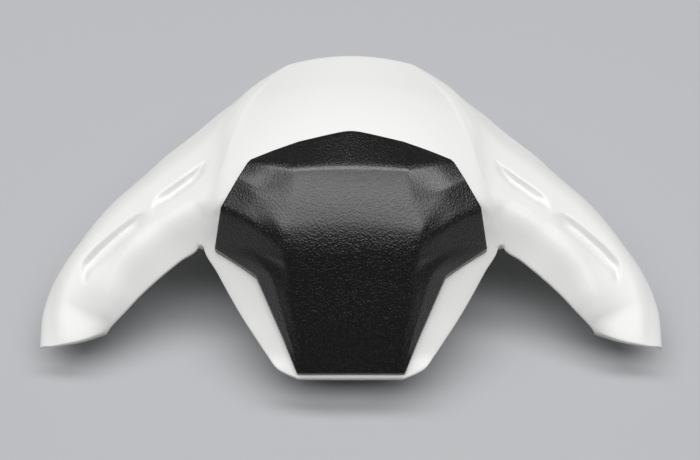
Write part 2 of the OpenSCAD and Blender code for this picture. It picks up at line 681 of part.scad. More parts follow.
// The front hook: a pressed strip with an upright and a nose
module front_hook() {
    front = hook_y - plate_len / 2;
    color("silver") difference() {
        translate([hook_w / 2, 0, 0]) rotate([0, -90, 0]) linear_extrude(hook_w) polygon([
            [frame_z, front], [frame_z, front + plate_len], [frame_z - plate_t, front + plate_len],
            [frame_z - plate_t, front + plate_t], [frame_z - hook_drop, front + plate_t],
            [frame_z - hook_drop, front - hook_reach],
            [frame_z - hook_drop + plate_t, front - hook_reach],
            [frame_z - hook_drop + plate_t, front]]);
        for (x = [-1, 1]) translate([x * hook_bolt_span / 2, hook_bolt_y, frame_z - plate_t - 1])
            cylinder(d = bolt_hole_d, h = plate_t + 2);
    }
}

// Flanged bolts from below with flanged nuts on the frame
bolt_flange_t = 1.2;
bolt_hex_h = 4;
nut_h = 5;
hex_share = 1.7;
thread_gap = 0.1;
module bolt_spots() {
    for (x = [-1, 1]) {
        translate([x * loop_bolt_x, loop_y, 0]) children();
        translate([x * hook_bolt_span / 2, hook_bolt_y, 0]) children();
    }
}
module frame_bolts() {
    color("silver") bolt_spots() translate([0, 0, frame_z - plate_t]) {
        cylinder(d = bolt_d, h = plate_t + frame_t + bolt_flange_t + nut_h + 1);
        translate([0, 0, -bolt_flange_t]) cylinder(d = bolt_flange_d - 1, h = bolt_flange_t);
        translate([0, 0, -bolt_hex_h]) cylinder(d = bolt_d * hex_share, h = bolt_hex_h, $fn = 6);
    }
}
module frame_nuts() {
    color("silver") bolt_spots() translate([0, 0, frame_z + frame_t]) difference() {
        union() {
            cylinder(d = bolt_flange_d - 1, h = bolt_flange_t);
            cylinder(d = bolt_d * hex_share, h = bolt_flange_t + nut_h, $fn = 6);
        }
        translate([0, 0, -1]) cylinder(d = bolt_d + thread_gap, h = nut_h + bolt_flange_t + 2);
    }
}

// A rubber buffer with a stem in the frame's foot
module buffer(side, p) {
    foot_round = 1.5;
    stem_h = frame_z + frame_t - cup_floor_z - 1;
    r = buffer_d / 2;
    color("#202020") translate([side * p.x, p.y, 0]) rotate_extrude()
        polygon([[0, 0], [r - foot_round, 0], [r, foot_round], [r, buffer_h],
            [buffer_stem_d / 2, buffer_h], [buffer_stem_d / 2, buffer_h + stem_h],
            [0, buffer_h + stem_h]]);
}

// A wing pin: a stud in the wing's boss, a collar and the pin itself
module wing_pin(side) {
    nose = 1.5;
    r = pin_d / 2;
    bottom = pin_seat_z - pin_collar_t - pin_l;
    color("#202020") translate([side * pin_point.x, pin_point.y, 0]) rotate_extrude()
        polygon([[0, bottom], [r - nose, bottom], [r, bottom + nose],
            [r, pin_seat_z - pin_collar_t], [pin_collar_d / 2, pin_seat_z - pin_collar_t],
            [pin_collar_d / 2, pin_seat_z], [pin_stud_d / 2, pin_seat_z],
            [pin_stud_d / 2, pin_seat_z + pin_stud_l], [0, pin_seat_z + pin_stud_l]]);
}

cowl_shell();
back_pad();
pad_screws();
pad_washers();
base_frame();
frame_screws();
boss_inserts();
latch_loop();
front_hook();
frame_bolts();
frame_nuts();
buffer(-1, foot_points[0]);  // buffer_front_left
buffer(1, foot_points[0]);  // buffer_front_right
buffer(-1, foot_points[1]);  // buffer_rear_left
buffer(1, foot_points[1]);  // buffer_rear_right
wing_pin(-1);  // wing_pin_left
wing_pin(1);  // wing_pin_right
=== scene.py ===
"""Dresses the seat cowl: a gloss white shell with fluted wings, a facetted back pad and the
frame, latch loop, hook, buffers and pins below it."""

import math

import bpy
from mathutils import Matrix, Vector
from mathutils.bvhtree import BVHTree


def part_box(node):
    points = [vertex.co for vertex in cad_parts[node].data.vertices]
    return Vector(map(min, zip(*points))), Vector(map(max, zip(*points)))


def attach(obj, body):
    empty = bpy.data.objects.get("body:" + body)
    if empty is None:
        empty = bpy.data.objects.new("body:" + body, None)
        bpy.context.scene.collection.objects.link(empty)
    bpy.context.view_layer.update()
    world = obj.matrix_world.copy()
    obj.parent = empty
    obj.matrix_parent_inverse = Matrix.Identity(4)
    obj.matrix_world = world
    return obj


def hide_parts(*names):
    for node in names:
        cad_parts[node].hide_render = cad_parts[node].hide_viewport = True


bl_info = {
    "name": "Seat cowl",
    "version": (1, 0, 0),
    "blender": (4, 5, 0),
    "location": "View3D > Sidebar > Seat cowl",
    "description": "Makes a motorbike seat cowl with its back pad, frame and stage",
    "category": "Add Mesh",
}

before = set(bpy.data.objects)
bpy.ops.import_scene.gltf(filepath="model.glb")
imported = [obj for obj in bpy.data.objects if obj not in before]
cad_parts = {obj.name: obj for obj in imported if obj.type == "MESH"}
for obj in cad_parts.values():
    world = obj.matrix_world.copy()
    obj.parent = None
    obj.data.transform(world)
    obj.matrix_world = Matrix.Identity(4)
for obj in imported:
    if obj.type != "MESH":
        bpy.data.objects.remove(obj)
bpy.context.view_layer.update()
MM = 0.001


# The lines that shape the shell, station by station from the tail to the lip or the wing
# tip, in mm: half width, distance from the lip, height. The middle line has no half width.
MIDDLE = [(191, 84), (165, 89.5), (146, 93.5), (122, 96), (99, 94.5), (82, 89.5), (73, 85),
          (64, 79), (52, 71), (40, 60.5), (30, 51), (20, 42), (11, 34), (4.5, 28.5), (0, 25)]
SHOULDER = [(37, 188, 80), (52.5, 161, 82), (59, 143, 84), (64, 120.5, 84), (68, 99.5, 81),
            (72, 80, 75), (77.5, 72.5, 64), (80.3, 64.5, 52), (72.5, 52, 47.5),
            (65, 40, 42.5), (58, 29.5, 38), (51, 20, 34), (44, 11, 29.5), (38, 4, 27),
            (28, 0, 25)]
INNER = [(38.5, 187.2, 79.8), (53.6, 162, 81.8), (60.3, 144.6, 83.7), (65.6, 122.3, 83.6),
         (69.8, 101.5, 80.5), (74.2, 82, 74.2), (80.2, 74.5, 64), (83.6, 65.3, 52),
         (93, 60, 47.5), (104, 52.5, 42.5), (114.5, 45, 36.5), (122.5, 38, 31.5),
         (128, 33.5, 28), (131.2, 31.4, 25.3), (133.2, 29.9, 22.8)]
OUTER = [(54, 178.5, 75), (62, 172, 73.5), (69, 163.5, 72), (81, 154, 68), (94, 143, 63),
         (110, 131, 57), (119, 122, 53.5), (128.5, 113, 50), (138, 105, 46),
         (147.5, 93, 42), (156.5, 78, 37.5), (163.5, 64.5, 34), (168, 52, 30),
         (170, 38.3, 25.8), (168.6, 21.7, 20.5)]
# The fold above the wing's inner face and the ridge outside the flutes: share of the
# wing's width, height. Then the share at which the flutes' steep wall lies.
FOLD = [(0.3, 78.6), (0.3, 80), (0.3, 81.8), (0.28, 81.2), (0.15, 78.5), (0.1, 74.2),
        (0.12, 70.2), (0.22, 66.2), (0.25, 61.2), (0.27, 55.2), (0.24, 46.8), (0.15, 39.2),
        (0.1, 32.5), (0.1, 27.4), (0.12, 24)]
RIDGE = [(0.6, 77.2), (0.6, 77.8), (0.6, 79), (0.6, 77), (0.62, 74), (0.7, 69.4),
         (0.75, 65.8), (0.78, 62.2), (0.79, 58), (0.8, 53.2), (0.82, 48), (0.82, 42.2),
         (0.78, 36.8), (0.7, 31), (0.6, 24.2)]
FLUTE_LINE = [(0.55,), (0.5,), (0.44,), (0.36,), (0.33,), (0.435,), (0.49,), (0.56,),
              (0.555,), (0.605,), (0.675,), (0.71,), (0.715,), (0.71,), (0.7,)]
LAST = len(MIDDLE) - 1
# The station at which the notch between tongue and wing opens.
NOTCH = 7
# How far in front of the origin the lip lies, in mm.
LIP = 96.0

# The stations at which each flute starts and ends, and how far its wall turns in at the
# end, as a share of the wing's width.
FLUTES = ((4.3, 7.7, 0.05), (7.8, 11.4, 0.12))
# Stations over which a flute starts and fades out, and over which its wall turns in and
# comes back.
FLUTE_START, FLUTE_FADE = 0.8, 1.3
HOOK_TURN, HOOK_RETURN = 0.9, 0.5
# Across the wing: where a flute's floor starts, and the foot and head of its steep wall.
FLOOR, FOOT, HEAD = 0.44, 0.64, 0.7
# How much later the floor starts where a flute ends, and the stations that this takes.
FLOOR_TAPER, TAPER_RUN = 0.12, 2
# Half the width over which a fold is rounded, as a share of the wing's, and the most of
# the way to the inner edge that this may take.
FOLD_ROUND, FOLD_REACH = 0.11, 0.9
# Four times how far the wing tip's end bows forward in its middle, in mm, and the stations
# over which that grows.
TIP_BOW, TIP_RUN = 16, 1.6

# The pad's outer face, in the same measures: rows from its top edge to its lower edge, each
# with its middle, the edge of the centre facet, the swell of the side and its rim.
PAD = [((0, 108.7, 97.8), (28, 103, 95.4), (41.2, 98.4, 93.4), (53.2, 93.8, 91.2)),
       ((0, 81.5, 99), (29, 81, 98), (43.9, 87.6, 94.7), (54.8, 91.5, 91.2)),
       ((0, 61, 89.6), (31.4, 61.4, 88.6), (48, 72.6, 88.9), (59.9, 82.6, 88)),
       ((0, 43, 76), (33, 44.2, 76.2), (50.7, 59.2, 79.6), (68.5, 71.2, 78.5)),
       ((0, 39, 71.6), (32.5, 40.2, 71.7), (53, 52, 66.5), (73.2, 60.2, 57.6)),
       ((0, 33.6, 65.4), (31.2, 34.2, 64.8), (41, 38.4, 61.6), (50, 43, 56.4)),
       ((0, 12.3, 42), (27.2, 12.8, 41.4), (31.5, 13.8, 39.8), (35, 15.2, 37.4)),
       ((0, 0.8, 27.8), (24.4, 0.8, 27.8), (26.4, 0.9, 27.7), (28, 1, 27.6))]
# The last row at which the side swells smoothly out of the centre facet.
PAD_CREASE_ROW = 3
# How round the middle of the top edge is, as a share of the centre facet's half width.
PAD_APEX = 0.17
# How steeply the centre facet leaves the ridge, as a share of its fall below it.
PAD_RIDGE = 0.9
# Rows of faces between two rows of the table, and columns across the centre facet's half
# and across each strip of the side.
PAD_ROWS, PAD_MID, PAD_SIDE = 8, 14, 9
# What a relaxed point keeps of its own place, and takes from each of its four neighbours.
PAD_KEEP, PAD_PULL = 0.4, 0.15
# The pad's least thickness, and the rounding of its rim.
PAD_LEAST, PAD_RIM = 0.3 * MM, 1.1 * MM


def linear(hex_colour):
    """Turns an sRGB hex colour to linear red, green, blue."""
    values = [int(hex_colour[i:i + 2], 16) / 255 for i in (1, 3, 5)]
    return [v / 12.92 if v <= 0.04045 else ((v + 0.055) / 1.055) ** 2.4 for v in values]


def spline(line, u):
    """The point at station u on a smooth curve through the points of a line."""
    n = len(line) - 1
    i = min(max(math.floor(u), 0), n - 1)
    t = u - i
    a, b, c, d = (line[k] for k in (max(i - 1, 0), i, i + 1, min(i + 2, n)))
    return [q + t * (r - p) / 2 + t * t * (2 * p - 5 * q + 4 * r - s) / 2
            + t ** 3 * (3 * q - p - 3 * r + s) / 2 for p, q, r, s in zip(a, b, c, d)]


def ramp(x, r):
    """Nothing before a fold and x past it, rounded over r to both sides of it."""
    return 0 if x <= -r else x if x >= r else (x + r) ** 2 / (4 * r)


def step(x):
    """Rises smoothly from 0 where x is 0 to 1 where x is 1."""
    t = min(max(x, 0), 1)
    return t * t * (3 - 2 * t)


def place(x, d, z):
    """From half width, distance from the lip and height in mm to the part's frame."""
    return Vector((x * MM, (d - LIP) * MM, z * MM))


def panel_point(u, s):
    """A point of the crowned panel, with s from 0 at its middle to 1 at its shoulder."""
    m, e = spline(MIDDLE, u), spline(SHOULDER, u)
    return place(s * e[0], m[0] + (e[1] - m[0]) * s * s, m[1] + (e[2] - m[1]) * s * s)


def flute_depth(u, q, depth):
    """How deep the flutes are at station u and column q of the wing."""
    deepest = 0
    for start, end, _ in FLUTES:
        floor = FLOOR + FLOOR_TAPER * step((u - end) / TAPER_RUN + 1)
        deepest = max(deepest, step((q - floor) / (FOOT - floor))
                      * step((u - start) / FLUTE_START) * step((end - u) / FLUTE_FADE))
    return depth * deepest * step((HEAD - q) / (HEAD - FOOT))


def flute_hook(u):
    """How far the flutes' wall turns in at station u, as a share of the wing's width."""
    return max(hook * step((u - end) / HOOK_TURN + 1) * step(1 - (u - end) / HOOK_RETURN)
               for _, end, hook in FLUTES)


def wing_point(u, q, depth, roll=0):
    """A point of the wing; q of 1 is as far inside the outer edge as the edge rolls over."""
    a, b, wall = spline(INNER, u), spline(OUTER, u), spline(FLUTE_LINE, u)[0] - flute_hook(u)
    edge = 1 - min(roll / math.dist(a, b), (1 - wall) / 2)
    w = q / HEAD * wall if q < HEAD else wall + (q - HEAD) / (1 - HEAD) * (edge - wall)
    fold, ridge = spline(FOLD, u), spline(RIDGE, u)
    rise = ((fold[1] - a[2]) / fold[0], (ridge[1] - fold[1]) / (ridge[0] - fold[0]),
            (b[2] - ridge[1]) / (1 - ridge[0]))
    z = (a[2] + rise[0] * w
         + (rise[1] - rise[0]) * ramp(w - fold[0], min(FOLD_ROUND, fold[0] * FOLD_REACH))
         + (rise[2] - rise[1]) * ramp(w - ridge[0], FOLD_ROUND))
    bow = -TIP_BOW * w * (1 - w) * step((u - LAST) / TIP_RUN + 1)
    return place(a[0] + (b[0] - a[0]) * w, a[1] + (b[1] - a[1]) * w + bow,
                 z - flute_depth(u, q, depth))


def mesh_object(name, points, faces, materials):
    """Makes a smooth-shaded mesh object in the scene."""
    mesh = bpy.data.meshes.new(name)
    mesh.from_pydata([tuple(p) for p in points], [], faces)
    mesh.update()
    for m in materials:
        mesh.materials.append(m)
    mesh.shade_smooth()
    piece = bpy.data.objects.new(name, mesh)
    bpy.context.scene.collection.objects.link(piece)
    return piece


def round_rim(piece, edges, width, segments):
    """Rounds the edges of a piece that are given as pairs of vertices."""
    wanted = {frozenset(e) for e in edges}
    layer = piece.data.attributes.new("bevel_weight_edge", "FLOAT", "EDGE")
    for e in piece.data.edges:
        layer.data[e.index].value = 1.0 if frozenset(e.vertices) in wanted else 0.0
    bevel = piece.modifiers.new("rim", "BEVEL")
    bevel.width, bevel.segments, bevel.limit_method = width, segments, "WEIGHT"


# Materials

def new_material(name):
    """Gives a material with an empty node tree, and the tree."""
    material = bpy.data.materials.new(name)
    material.use_nodes = True
    material.node_tree.nodes.clear()
    return material, material.node_tree


def add(tree, kind, values=None, links=None, **settings):
    """Adds a node with its settings, its sockets' values and the links into it."""
    node = tree.nodes.new(kind)
    for key, value in settings.items():
        setattr(node, key, value)
    for key, value in (values or {}).items():
        node.inputs[key].default_value = value
    for key, socket in (links or {}).items():
        tree.links.new(socket, node.inputs[key])
    return node


def gloss_paint(colour):
    """Two-pack gloss paint under clear coat on moulded ABS: a bright, softly spread gloss
    whose reflections waver a little with the orange peel of the sprayed coat."""
    material, tree = new_material("gloss_paint_clear_coat_on_abs")
    where = add(tree, "ShaderNodeTexCoord").outputs["Object"]
    # Orange peel has waves of 2 to 4 mm.
    peel = add(tree, "ShaderNodeTexNoise", {"Scale": 1 / (3 * MM), "Detail": 1.0},
               {"Vector": where})
    bump = add(tree, "ShaderNodeBump", {"Strength": 0.06, "Distance": 0.02 * MM},
               {"Height": peel.outputs["Fac"]})
    # Fine dust and handling dull the gloss in soft clouds of some centimetres.
    cloud = add(tree, "ShaderNodeTexNoise", {"Scale": 1 / (35 * MM), "Detail": 4.0},
                {"Vector": where})
    dull = add(tree, "ShaderNodeMapRange", {"To Min": 0.34, "To Max": 0.44},
               {"Value": cloud.outputs["Fac"]})
    shader = add(tree, "ShaderNodeBsdfPrincipled",
                 {"Base Color": (*colour, 1), "IOR": 1.5, "Coat Weight": 0.35,
                  "Coat Roughness": 0.2},
                 {"Roughness": dull.outputs[0], "Normal": bump.outputs[0]})
    add(tree, "ShaderNodeOutputMaterial", links={"Surface": shader.outputs[0]})
    return material


def bare_abs(colour):
    """ABS as it leaves the mould, on the unseen side: satin, with a faint spark texture."""
    material, tree = new_material("moulded_abs_inside")
    where = add(tree, "ShaderNodeTexCoord").outputs["Object"]
    # The spark texture's pits are 0.8 mm apart.
    spark = add(tree, "ShaderNodeTexNoise", {"Scale": 1 / (0.8 * MM), "Detail": 3.0},
                {"Vector": where})
    bump = add(tree, "ShaderNodeBump", {"Strength": 0.2, "Distance": 0.05 * MM},
               {"Height": spark.outputs["Fac"]})
    shader = add(tree, "ShaderNodeBsdfPrincipled",
                 {"Base Color": (*colour, 1), "IOR": 1.53, "Roughness": 0.48},
                 {"Normal": bump.outputs[0]})
    add(tree, "ShaderNodeOutputMaterial", links={"Surface": shader.outputs[0]})
    return material


def grained_vinyl(colour, grain):
    """Vinyl skin pressed with a leather grain over foam: small round pebbles with fine
    furrows, a soft sheen on their crowns and dull furrows between."""
    material, tree = new_material("grained_vinyl_pressed_leather_grain")
    where = add(tree, "ShaderNodeTexCoord").outputs["Object"]
    # The real grain is 0.7 to 1 mm wide: it is drawn coarser so that it shows. Its rows
    # are bent by a pattern that is 2.2 pebbles wide.
    bend = add(tree, "ShaderNodeTexNoise", {"Scale": 1 / (grain * 2.2), "Detail": 2.0},
               {"Vector": where})
    push = add(tree, "ShaderNodeVectorMath", {"Scale": grain * 0.9},
               {0: bend.outputs["Color"]}, operation="SCALE")
    moved = add(tree, "ShaderNodeVectorMath", None, {0: where, 1: push.outputs[0]},
                operation="ADD")
    pebble = add(tree, "ShaderNodeTexVoronoi", {"Scale": 1 / grain, "Smoothness": 0.3},
                 {"Vector": moved.outputs[0]}, feature="SMOOTH_F1")
    crown = add(tree, "ShaderNodeMapRange",
                {"From Min": 0.0, "From Max": 0.62, "To Min": 1.0, "To Max": 0.0},
                {"Value": pebble.outputs["Distance"]})
    bump = add(tree, "ShaderNodeBump", {"Strength": 1.0, "Distance": 0.2 * MM},
               {"Height": crown.outputs[0]})
    dull = add(tree, "ShaderNodeMapRange", {"To Min": 0.36, "To Max": 0.26},
               {"Value": crown.outputs[0]})
    shader = add(tree, "ShaderNodeBsdfPrincipled",
                 {"Base Color": (*colour, 1), "IOR": 1.54, "Coat Weight": 0.8,
                  "Coat Roughness": 0.22},
                 {"Roughness": dull.outputs[0], "Normal": bump.outputs[0]})
    add(tree, "ShaderNodeOutputMaterial", links={"Surface": shader.outputs[0]})
    return material


def moulded_nylon(colour):
    """Glass-filled nylon, moulded: nearly matt black with a dry, finely mottled surface."""
    material, tree = new_material("glass_filled_nylon_moulded")
    where = add(tree, "ShaderNodeTexCoord").outputs["Object"]
    # Glass fibres mottle the skin in flecks of about 0.9 mm.
    mottle = add(tree, "ShaderNodeTexNoise", {"Scale": 1 / (0.9 * MM), "Detail": 5.0},
                 {"Vector": where})
    bump = add(tree, "ShaderNodeBump", {"Strength": 0.35, "Distance": 0.06 * MM},
               {"Height": mottle.outputs["Fac"]})
    dull = add(tree, "ShaderNodeMapRange", {"To Min": 0.5, "To Max": 0.72},
               {"Value": mottle.outputs["Fac"]})
    shader = add(tree, "ShaderNodeBsdfPrincipled", {"Base Color": (*colour, 1), "IOR": 1.53},
                 {"Roughness": dull.outputs[0], "Normal": bump.outputs[0]})
    add(tree, "ShaderNodeOutputMaterial", links={"Surface": shader.outputs[0]})
    return material


def zinc_plate(colour):
    """Pressed steel, bright zinc plated: a cool metal with cloudy dull patches."""
    material, tree = new_material("steel_bright_zinc_plated")
    where = add(tree, "ShaderNodeTexCoord").outputs["Object"]
    # The patches are about 6 mm wide.
    cloud = add(tree, "ShaderNodeTexNoise", {"Scale": 1 / (6 * MM), "Detail": 5.0},
                {"Vector": where})
    dull = add(tree, "ShaderNodeMapRange", {"To Min": 0.22, "To Max": 0.45},
               {"Value": cloud.outputs["Fac"]})
    shader = add(tree, "ShaderNodeBsdfPrincipled",
                 {"Base Color": (*colour, 1), "Metallic": 1.0},
                 {"Roughness": dull.outputs[0]})
    add(tree, "ShaderNodeOutputMaterial", links={"Surface": shader.outputs[0]})
    return material


def black_zinc(colour):
    """Steel screws, black zinc plated: dark metal with a worn, uneven gloss."""
    material, tree = new_material("steel_black_zinc_plated")
    where = add(tree, "ShaderNodeTexCoord").outputs["Object"]
    # The wear comes in specks of about 1.5 mm.
    wear = add(tree, "ShaderNodeTexNoise", {"Scale": 1 / (1.5 * MM), "Detail": 4.0},
               {"Vector": where})
    dull = add(tree, "ShaderNodeMapRange", {"To Min": 0.28, "To Max": 0.5},
               {"Value": wear.outputs["Fac"]})
    shader = add(tree, "ShaderNodeBsdfPrincipled",
                 {"Base Color": (*colour, 1), "Metallic": 1.0},
                 {"Roughness": dull.outputs[0]})
    add(tree, "ShaderNodeOutputMaterial", links={"Surface": shader.outputs[0]})
    return material


def turned_brass(colour):
    """Brass, turned: warm metal with fine rings from the tool."""
    material, tree = new_material("brass_turned")
    where = add(tree, "ShaderNodeTexCoord").outputs["Object"]
    # The tool's rings are 0.1 to 0.4 mm apart on a real insert: they are drawn 2.5 mm
    # apart so that they show. At a scale of 1 the wave's bands are pi / 10 apart.
    rings = add(tree, "ShaderNodeTexWave",
                {"Scale": math.pi / 10 / (2.513 * MM), "Distortion": 0.5},
                {"Vector": where}, bands_direction="Z")
    bump = add(tree, "ShaderNodeBump", {"Strength": 0.2, "Distance": 0.03 * MM},
               {"Height": rings.outputs["Fac"]})
    shader = add(tree, "ShaderNodeBsdfPrincipled",
                 {"Base Color": (*colour, 1), "Metallic": 1.0, "Roughness": 0.3},
                 {"Normal": bump.outputs[0]})
    add(tree, "ShaderNodeOutputMaterial", links={"Surface": shader.outputs[0]})
    return material


def moulded_rubber(colour):
    """Rubber, moulded: dull black with a slight bloom that greys it in patches."""
    material, tree = new_material("rubber_moulded")
    where = add(tree, "ShaderNodeTexCoord").outputs["Object"]
    # The bloom's patches are about 4 mm wide, and up to 1.8 times as bright.
    bloom = add(tree, "ShaderNodeTexNoise", {"Scale": 1 / (4 * MM), "Detail": 6.0},
                {"Vector": where})
    grey = add(tree, "ShaderNodeMix", {6: (*colour, 1), 7: (*[c * 1.8 for c in colour], 1)},
               {"Factor": bloom.outputs["Fac"]}, data_type="RGBA")
    shader = add(tree, "ShaderNodeBsdfPrincipled", {"Roughness": 0.75, "IOR": 1.52},
                 {"Base Color": grey.outputs[2]})
    add(tree, "ShaderNodeOutputMaterial", links={"Surface": shader.outputs[0]})
    return material


def studio_board(colour):
    """Painted studio board: matt and even, a plain ground without gloss of its own."""
    material, tree = new_material("studio_board_matt")
    where = add(tree, "ShaderNodeTexCoord").outputs["Object"]
    # The board's fine tooth is drawn 5 mm wide, as coarse as it needs to show.
    tooth = add(tree, "ShaderNodeTexNoise", {"Scale": 1 / (5 * MM), "Detail": 2.0},
                {"Vector": where})
    dull = add(tree, "ShaderNodeMapRange", {"To Min": 0.85, "To Max": 0.95},
               {"Value": tooth.outputs["Fac"]})
    shader = add(tree, "ShaderNodeBsdfPrincipled", {"Base Color": (*colour, 1)},
                 {"Roughness": dull.outputs[0]})
    add(tree, "ShaderNodeOutputMaterial", links={"Surface": shader.outputs[0]})
    return material


# Settings

def colour_prop(name, description, hex_colour):
    return bpy.props.FloatVectorProperty(name=name, description=description, subtype="COLOR",
                                         size=3, min=0, max=1, default=linear(hex_colour))


def length_prop(name, description, default, **limits):
    return bpy.props.FloatProperty(name=name, description=description, default=default,
                                   unit="LENGTH", **limits)


class CowlShellSettings(bpy.types.PropertyGroup):
    wall: length_prop("Wall", "Thickness of the moulded wall", 2.6 * MM,
                      min=1 * MM, max=4 * MM)
    tail_skirt: length_prop("Tail edge", "Depth of the turned-down edge at the tail", 22 * MM)
    tip_skirt: length_prop("Tip edge", "Depth of the turned-down edge at the tips", 3 * MM)
    draft: length_prop("Draft", "Outward lean of the turned-down edge", 1 * MM)
    roll: length_prop("Edge roll", "Width over which the edge turns down", 4 * MM)
    rim_radius: length_prop("Rim radius", "Rounding of the wall's free rim", 0.5 * MM)
    flute: length_prop("Flute depth", "Depth of the flutes in the wings", 3.2 * MM)
    paint: colour_prop("Paint", "Colour of the gloss paint", "#f3f3f1")
    inside: colour_prop("Inside", "Colour of the bare moulding inside", "#d9d9d4")


class CowlPadSettings(bpy.types.PropertyGroup):
    gap: length_prop("Gap", "Gap between pad and shell", 0.6 * MM)
    soft: bpy.props.IntProperty(name="Softness", default=1, min=0, max=20,
                                description="How often the facets' creases are relaxed")
    grain: length_prop("Grain", "Width of one pebble of the leather grain", 1.2 * MM)
    vinyl: colour_prop("Vinyl", "Colour of the pad's vinyl", "#050506")


class CowlFixingSettings(bpy.types.PropertyGroup):
    nylon: colour_prop("Nylon", "Colour of the frame's moulded nylon", "#242426")
    zinc: colour_prop("Zinc", "Colour of the bright zinc plating", "#c2c5c8")
    black: colour_prop("Black zinc", "Colour of the black zinc plating", "#3b3c40")
    brass: colour_prop("Brass", "Colour of the turned brass", "#d8b468")
    rubber: colour_prop("Rubber", "Colour of the buffers' rubber", "#1c1c1c")


class CowlStageSettings(bpy.types.PropertyGroup):
    floor: colour_prop("Floor", "Colour of the floor", "#babbbe")
    key_lamp: bpy.props.FloatProperty(
        name="Key lamp", description="Power of the long lamp above and behind",
        default=64, unit="POWER")
    front_lamp: bpy.props.FloatProperty(
        name="Front lamp", description="Power of the long lamp above the front",
        default=66, unit="POWER")
    room: bpy.props.FloatProperty(
        name="Room light", description="Strength of the even light all round",
        default=0.06, min=0, max=2)


# The shell

# Rows of faces between two stations, and columns across half the panel, across the strip
# between panel and wing, and across the spans of the wing.
ROWS_EACH, PANEL_COLUMNS, STRIP_COLUMNS = 12, 22, 5
WING_SPANS = ((0, FLOOR, 14), (FLOOR, FOOT, 9), (FOOT, HEAD, 7), (HEAD, 1, 12))
# How far the strip's last row bows back, which rounds the notch's inner end.
NOTCH_ROUND = 1.5 * MM
# The most of a station over which the tail's edge rolls over, and the stretch over which
# the length of that station is measured.
ROLL_MOST, ROLL_PROBE = 0.4, 0.2
# Rings of the turned-down edge: those of its roll, then those down to its rim.
ROLL_RINGS, DROP_RINGS = 5, 3
# How far down the roll ends, as a share of its width, and at most of the edge's depth.
ROLL_FALL, ROLL_DEEPEST = 0.55, 0.6
# How the edge's depth goes from the tail's to the tips'.
SKIRT_POWER = 0.75
# The steepest face, by its normal's height, whose wall keeps its full thickness.
STEEPEST = 0.75
# How far the seam between panel and wing is evened to both sides: behind, at the notch, and
# the stations between which it changes.
SEAM_BEHIND, SEAM_AT_NOTCH, SEAM_FADE = 2.8 * MM, 0.3 * MM, (4.8, 6.8)


def shell_columns():
    """Columns of half the shell: first the panel's, then the strip's, then the wing's."""
    panel = [("panel", i / PANEL_COLUMNS) for i in range(PANEL_COLUMNS + 1)]
    strip = [("strip", i / STRIP_COLUMNS) for i in range(1, STRIP_COLUMNS)]
    wing = [("wing", a + (b - a) * i / n) for a, b, n in WING_SPANS for i in range(n)]
    return panel + strip + wing + [("wing", 1.0)]


def shell_point(kind, u, value, depth, roll=0):
    """A point of the shell's right half at station u of a column."""
    if kind == "panel":
        return panel_point(u, value)
    if kind == "wing":
        return wing_point(u, value, depth, roll)
    bow = NOTCH_ROUND * math.sqrt(4 * value * (1 - value)) if u == NOTCH else 0
    return (panel_point(u, 1) * (1 - value) + wing_point(u, 0, depth) * value
            + Vector((0, bow, 0)))


def flat_turn(v):
    """The direction square to v in plan, to its right."""
    n = math.hypot(v[0], v[1])
    return Vector((v[1] / n, -v[0] / n, 0))


def seam_reach(u):
    """How far the seam between panel and wing is evened at station u."""
    start, end = SEAM_FADE
    return SEAM_BEHIND + (SEAM_AT_NOTCH - SEAM_BEHIND) * step((u - start) / (end - start))


def soften_seam(row, middle, reach):
    """Evens the heights of a row's points near the seam between panel and wing."""
    heights = []
    for p in row:
        share = 1 - step((p - middle).length / (4 * reach))
        if share == 0:
            heights.append(p.z)
            continue
        total, weight = 0, 0
        for k in range(1, len(row) - 1):
            part = ((row[k + 1] - row[k - 1]).length
                    * math.exp(-((row[k] - p).length / reach) ** 2))
            total, weight = total + part * row[k].z, weight + part
        heights.append(p.z * (1 - share) + total / weight * share)
    for p, z in zip(row, heights):
        p.z = z


